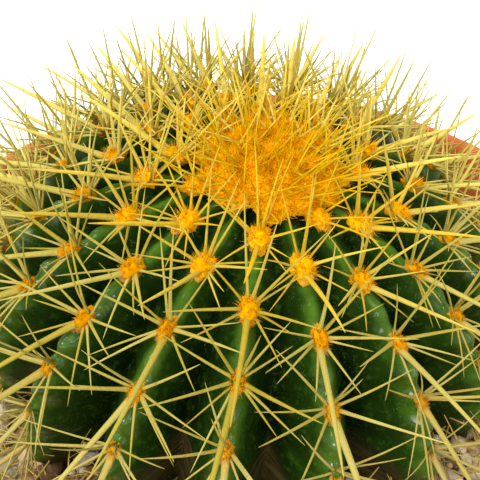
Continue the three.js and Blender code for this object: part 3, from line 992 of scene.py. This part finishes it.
def crown_surface(azimuth, polar):
    """Top of the crown felt in the body's own frame: the domed cap with a round tuft at each young
    areole of the spiral. It is drawn in to about nine tenths of the way out, and wavers there by
    a tenth in seven and twelve waves."""
    share = polar / CROWN_EDGE
    polar = polar * (0.9 + 0.07 * np.sin(7 * azimuth + 1) + 0.05 * np.sin(12 * azimuth + 2.2))
    radius, height, normal_out, normal_up = crest_at(polar)
    _, tuft_azimuth, tuft_polar = spiral(TUFTS)
    tufts = from_front(crest_at(tuft_polar)[0], tuft_azimuth, 0)
    apart = from_front(radius, azimuth, 0)[..., None, :] - tufts
    tuft = bump(np.hypot(apart[..., 0], apart[..., 1]), TUFT_WIDTH).sum(-1)
    rise = TUFT_HEIGHT * tuft * (1 - smooth(0.94, 1.0, share))
    lift = CROWN_SEAT + 0.9 * dome_at(polar) + rise
    return from_front(radius + lift * normal_out, azimuth, height + lift * normal_up)


def crown_felt():
    """The tufted cap, closed below just over the skin, with its coat of fine upright hairs, and
    the pads of the youngest areoles round it."""
    azimuth = TURN * np.arange(CAP_SIDES)[None] / CAP_SIDES
    polar = CROWN_EDGE * np.linspace(0.01, 1, CAP_RINGS)[:, None] ** 1.3
    top = crown_surface(azimuth, polar)
    under = top[-1:] * [0.9, 0.9, 1] - [0, 0, 2.2]
    poles = np.array([[0, 0, top[0, :, 2].mean()], [0, 0, under[0, :, 2].mean() + 1]])
    rings = np.concatenate([top, under])
    cap = placed(np.concatenate([rings.reshape(-1, 3), poles]))
    edge = np.append(0.3 * smooth(0.86, 1, polar.ravel() / CROWN_EDGE), 0.8)
    cap_marks = {"low": np.append(np.repeat(edge, CAP_SIDES), [0, 0.8]), "age": 0, "tone": 1}

    share, turn, polar = spiral(CAP_FIBRES)
    hair = np.arange(CAP_FIBRES)
    turn = turn + 0.2 * swing(hair, 1, 81)
    start = crown_surface(turn, polar)
    lean = np.stack([swing(hair, 2, 82) * 1.5, swing(hair, 3, 83) * 1.5, np.ones(CAP_FIBRES)], -1)
    direction = turned_with_body(unit(lean + start / BODY_RADIUS * [1.4, 1.4, 0]))
    length = 1.0 + 2.6 * chance(hair, 4, 84) ** 1.3
    length = length * (1 - 0.5 * share**2 + 0.5 * smooth(0.9, 1, share))
    hairs, hair_faces = fibres(placed(start) - direction * 0.4, direction, length, CAP_HAIR)
    hair_marks = {
        "low": 0.3 * smooth(0.86, 1, polar / CROWN_EDGE)[:, None],
        "age": 0,
        "tone": 0.7 + 0.3 * chance(hair, 5, 85)[:, None],
    }
    return joined([
        (cap, closed_faces(len(rings), CAP_SIDES), cap_marks),
        (hairs, hair_faces, hair_marks),
        pads(crown_areoles()),
    ])


def crown_lines():
    """Strong crown spines in the spiral, upright in the middle and leaning out at the edge."""
    number = np.arange(CROWN_SPINES)
    share, azimuth, polar = spiral(CROWN_SPINES, CROWN_SPREAD)
    lean = np.radians(6 + 46 * share + 10 * swing(number, 3, 1))
    spin = azimuth + 0.5 * swing(number, 5, 2)
    radius, height, _, _ = crest_at(polar)
    start = from_front(radius, azimuth, height + CROWN_SEAT + 0.5 * dome_at(polar))
    return {
        "start": placed(start),
        "direction": turned_with_body(from_front(np.sin(lean), spin, np.cos(lean))),
        "droop": 0.12 * np.stack([swing(number, 7, 3), swing(number, 8, 3), 0 * share], -1),
        "face": round_axis(1, spin, 0),
        "length": (13 + 6 * share) * (1 + 0.1 * swing(number, 9, 4)),
        "width": np.full(CROWN_SPINES, CROWN_SPINE_WIDTH),
        "gold": 1,
    }


def young_lines():
    """Thin spines of the young areoles: each tuft of the crown sends out a few that lean outwards
    and cross those of its neighbours."""
    _, azimuth, polar = spiral(TUFTS)
    which = np.repeat(np.arange(TUFTS), YOUNG_SPINES)
    number = np.arange(len(which))
    seat = crown_surface(azimuth, polar)[which]
    spin = TURN * chance(number, 1, 91)
    rise = np.radians(40 + 42 * chance(number, 2, 92))
    lean = 0.6 * round_axis(np.cos(rise), spin, np.sin(rise))
    droop = [swing(number, 5, 93), swing(number, 6, 94), -chance(number, 7, 95)]
    return {
        "start": placed(seat + round_axis(1, spin, 0) * 0.8 - [0, 0, 1.2]),
        "direction": turned_with_body(unit(lean + seat / BODY_RADIUS * [2.6, 2.6, 0.4])),
        "droop": 0.14 * np.stack(droop, -1),
        "face": np.stack([-np.sin(spin), np.cos(spin), 0 * spin], -1),
        "length": 9 + 7 * chance(number, 3, 96),
        "width": 0.42 + 0.2 * chance(number, 4, 97),
        "gold": 1,
    }


# Gravel

STONE_FACES = 11
ROW_SHARE = 0.87
JITTER = 0.3
# Layers of stones: spacing, smallest and largest half-width, height and its unevenness, share of
# places with a stone, rings, sides and seed
STONE_LAYERS = [
    (6.6, 3.1, 4.6, 157.4, 1.2, 1.0, 5, 8, 21),
    (8.6, 2.6, 4.2, 161.4, 1.0, 0.62, 6, 10, 22),
    (4.6, 1.2, 2.2, 160.6, 1.4, 0.6, 4, 7, 23),
]
STONES_INNER = 58
GRIT_INNER = 50
GRIT_TOP = 157.2
GRIT_RINGS = 40
GRIT_SIDES = 240
# Fallen spines: from the heap at the plant's foot out over the stones
FALLEN_SPINES = 1700
FALLEN_INNER = 78
FALLEN_BAND = 34
HEAP_INNER, HEAP_OUTER = 80, 98
STONES_TOP = 161.5


def stone_ball(rings, sides):
    """Directions over a unit sphere, ring by ring, with its two poles."""
    polar = math.pi * (np.arange(rings)[:, None] + 0.75) / (rings + 0.5)
    ball = round_axis(np.sin(polar), TURN * np.arange(sides) / sides, np.cos(polar))
    return np.concatenate([ball.reshape(-1, 3), [[0, 0, 1], [0, 0, -1]]])


def stones(places, size, rings, sides, seed):
    """Crushed stones. In each direction a stone reaches as far as its nearest flat face, softened:
    the faces' nearness, max(direction . normal, 0) / distance, is added up to the power of 9 and
    rooted."""
    rng = np.random.default_rng(seed)
    count = len(places)
    ball = stone_ball(rings, sides)
    normals = unit(rng.normal(size=(count, STONE_FACES, 3)))
    distance = rng.uniform(0.68, 1.0, (count, STONE_FACES))
    nearness = np.maximum(np.einsum("ni,kji->knj", ball, normals), 0) / distance[:, None]
    reach = 1 / np.maximum((nearness**9).sum(-1) ** (1 / 9), 0.72)
    scale = size[:, None] * rng.uniform([0.9, 0.75, 0.6], [1.2, 1.0, 0.85], (count, 3))
    turn = rng.uniform(0, TURN, count)[:, None]
    tilt = rng.normal(0, 0.35, (count, 2))
    local = ball[None] * reach[..., None] * scale[:, None]
    x, y, z = np.moveaxis(local, -1, 0)
    z = z + (tilt[:, :1] * x + tilt[:, 1:] * y)
    c, s = np.cos(turn), np.sin(turn)
    points = np.stack([x * c - y * s, x * s + y * c, z], -1) + places[:, None]
    marks = {"tone": rng.random(count)[:, None], "shade": rng.random(count)[:, None]}
    return points, repeated(closed_faces(rings, sides), points.shape[1], count), marks


def gravel():
    """Two uneven layers of stones and a scatter of small ones on top, at jittered places in rows of
    triangles, between the plant and the wall."""
    outer = inner_radius(GRAVEL_TOP)
    parts = []
    for spacing, low, high, base, rise, share, rings, sides, seed in STONE_LAYERS:
        rng = np.random.default_rng(seed)
        row = np.arange(-outer, outer, spacing)
        x, y = np.meshgrid(row, np.arange(-outer, outer, spacing * ROW_SHARE))
        x = x + (np.arange(len(x)) % 2)[:, None] * spacing / 2
        flat = np.stack([x.ravel(), y.ravel()], -1)
        flat = flat + rng.uniform(-JITTER, JITTER, flat.shape) * spacing
        size = rng.uniform(low, high, len(flat))
        radius = np.hypot(flat[:, 0], flat[:, 1])
        inside = (radius > STONES_INNER) & (radius < outer - WALL_GAP - size)
        keep = inside & (rng.random(len(flat)) < share)
        flat, size = flat[keep], size[keep]
        height = base + rise * rng.uniform(-1, 1, len(flat))
        parts.append(stones(np.column_stack([flat, height]), size, rings, sides, seed + 10))
    return joined(parts)


def grit_bed():
    """A closed ring of fine grit under the stones: its top is uneven by about a millimetre."""
    outer = inner_radius(GRAVEL_LOW) - WALL_GAP
    across = np.linspace(outer + 0.8, GRIT_INNER, GRIT_RINGS)
    radius = np.append(across, [GRIT_INNER, outer])
    height = np.append(np.full(GRIT_RINGS, GRIT_TOP), [GRAVEL_LOW, GRAVEL_LOW])
    angle = TURN * np.arange(GRIT_SIDES) / GRIT_SIDES
    points = round_axis(radius[:, None], angle, height[:, None])
    points[:GRIT_RINGS, :, 2] += 1.1 * ripple(points[:GRIT_RINGS], 9, 31)
    return points, [grid_quads(len(radius), GRIT_SIDES, True)[:, ::-1]], {}


def fallen_lines():
    """Old spines that have dropped: tangled in a heap at the plant's foot, and flat on the stones
    further out."""
    rng = np.random.default_rng(41)
    azimuth = rng.uniform(0, TURN, FALLEN_SPINES)
    radius = FALLEN_INNER + FALLEN_BAND * rng.random(FALLEN_SPINES) ** 1.4
    spin = rng.uniform(0, TURN, FALLEN_SPINES)
    tangled = 1 - smooth(HEAP_INNER, HEAP_OUTER, radius)
    rise = rng.normal(0, 0.1 + 0.35 * tangled)
    height = STONES_TOP + (4 + 12 * tangled) * rng.random(FALLEN_SPINES)
    start = round_axis(radius, azimuth, height)
    direction = unit(round_axis(1, spin, rise))
    length = rng.uniform(5, 18, FALLEN_SPINES)
    end = start + direction * length[:, None]
    inside = np.hypot(end[:, 0], end[:, 1]) < inner_radius(GRAVEL_TOP) - WALL_CLEARANCE
    return chosen({
        "start": start,
        "direction": direction,
        "droop": rng.normal(0, 0.08, (FALLEN_SPINES, 3)) * [1, 1, 0.3],
        "face": np.tile([0.0, 0.0, 1.0], (FALLEN_SPINES, 1)),
        "length": length,
        "width": rng.uniform(0.26, 0.68, FALLEN_SPINES),
    }, inside)


# Pieces

wool = felt()
horn = spine("straw_spine_horn", 0.2)
crown_horn = spine("golden_crown_horn", 0.02)

add_piece("terracotta_pot", pot(), terracotta(), "terracotta", "pot")
add_piece("cactus_body", body(), cactus_skin(), "cactus_flesh", "cactus")

areole = areoles()
add_piece("areole_felt", pads(areole), wool, "crown_felt", "cactus")
strong = spine_lines(areole, STRONG, first=0, uneven=0.1, spread=1.6, complete=True)
add_piece("strong_spines", horns(bent_clear(strong), 8), horn, "cactus_flesh", "cactus")
radial = spine_lines(areole, RADIAL, first=200, uneven=0.25, spread=1.9)
add_piece("radial_spines", horns(bent_clear(radial), 6), horn, "cactus_flesh", "cactus")

add_piece("crown_felt_cap", crown_felt(), wool, "crown_felt", "crown_wool")
young = spine_lines(crown_areoles(), YOUNG, first=400, uneven=0.2, spread=1.6)
crown_parts = [horns(crown_lines(), 6), horns(young_lines(), 5), horns(young, 6)]
add_piece("crown_spines", joined(crown_parts), crown_horn, "crown_felt", "crown_wool")

add_piece("gravel_stones", gravel(), gravel_stone(), "gravel_stones", "gravel")
add_piece("gravel_grit", grit_bed(), grit(), "gravel_stones", "gravel")
fallen = horns(fallen_lines(), 5)
add_piece("fallen_spines", fallen, horn, "gravel_stones", "gravel")

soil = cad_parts["soil"]
soil.data.materials.clear()
soil.data.materials.append(potting_soil())


# Floor, light and camera

FLOOR_HALF = 4
LIGHTS_AIM = Vector((0, 0, 0.17))
# Name, place, width, strength and colour of each soft light
LIGHTS = [
    ("key_light", (-0.42, -0.12, 1.1), 0.5, 10, (1, 0.98, 0.95)),
    ("fill_light", (0.8, -0.7, 1.0), 0.9, 4.2, (1, 0.99, 0.97)),
    ("front_light", (-0.4, -1.0, 0.62), 0.4, 5.5, (1, 0.98, 0.95)),
    ("glint_light", (0.7, -1.0, 0.42), 0.22, 1.6, (0.93, 0.97, 1)),
    ("back_light", (0.25, 0.9, 0.75), 0.7, 6, (1, 0.99, 0.96)),
]


def studio():
    """A wide pale floor and soft light from above, the front and behind."""
    corners = np.array([[-1, -1, 0], [1, -1, 0], [1, 1, 0], [-1, 1, 0]]) * FLOOR_HALF
    mesh = bpy.data.meshes.new("floor")
    mesh.from_pydata(corners.tolist(), [], [(0, 1, 2, 3)])
    f = Finish("pale_floor", Base_Color=(0.92, 0.92, 0.91, 1), Roughness=0.9,
               Specular_IOR_Level=0.1, Emission_Color=(1, 1, 1, 1), Emission_Strength=0.3)
    mesh.materials.append(f.material)
    new_object("floor", mesh)

    for name, place, size, energy, colour in LIGHTS:
        lamp = bpy.data.lights.new(name, "AREA")
        lamp.size = size
        lamp.energy = energy
        lamp.color = colour
        light = new_object(name, lamp)
        light.location = place
        aim = LIGHTS_AIM - Vector(place)
        light.rotation_euler = aim.to_track_quat("-Z", "Y").to_euler()

    world = bpy.data.worlds.new("soft_room")
    world.use_nodes = True
    sky = world.node_tree.nodes["Background"].inputs
    sky["Color"].default_value = (1, 0.99, 0.97, 1)
    sky["Strength"].default_value = 0.8
    bpy.context.scene.world = world
    bpy.context.scene.view_settings.view_transform = "Standard"


CAMERA_PLACE = Vector((-3.2, -120.6, 301.8)) * MM
CAMERA_PITCH = 0.728
CAMERA_YAW = -0.011
CAMERA_LENS = 34.8


def camera():
    """The photograph's view: from the front and above, looking 42 degrees down."""
    lens = bpy.data.cameras.new("camera")
    lens.lens = CAMERA_LENS
    lens.sensor_width = 36
    lens.clip_start = 0.005
    look = Vector((
        math.sin(CAMERA_YAW) * math.cos(CAMERA_PITCH),
        math.cos(CAMERA_YAW) * math.cos(CAMERA_PITCH),
        -math.sin(CAMERA_PITCH),
    ))
    view = new_object("camera", lens)
    view.location = CAMERA_PLACE
    view.rotation_euler = look.to_track_quat("-Z", "Y").to_euler()
    bpy.context.scene.camera = view


studio()
camera()
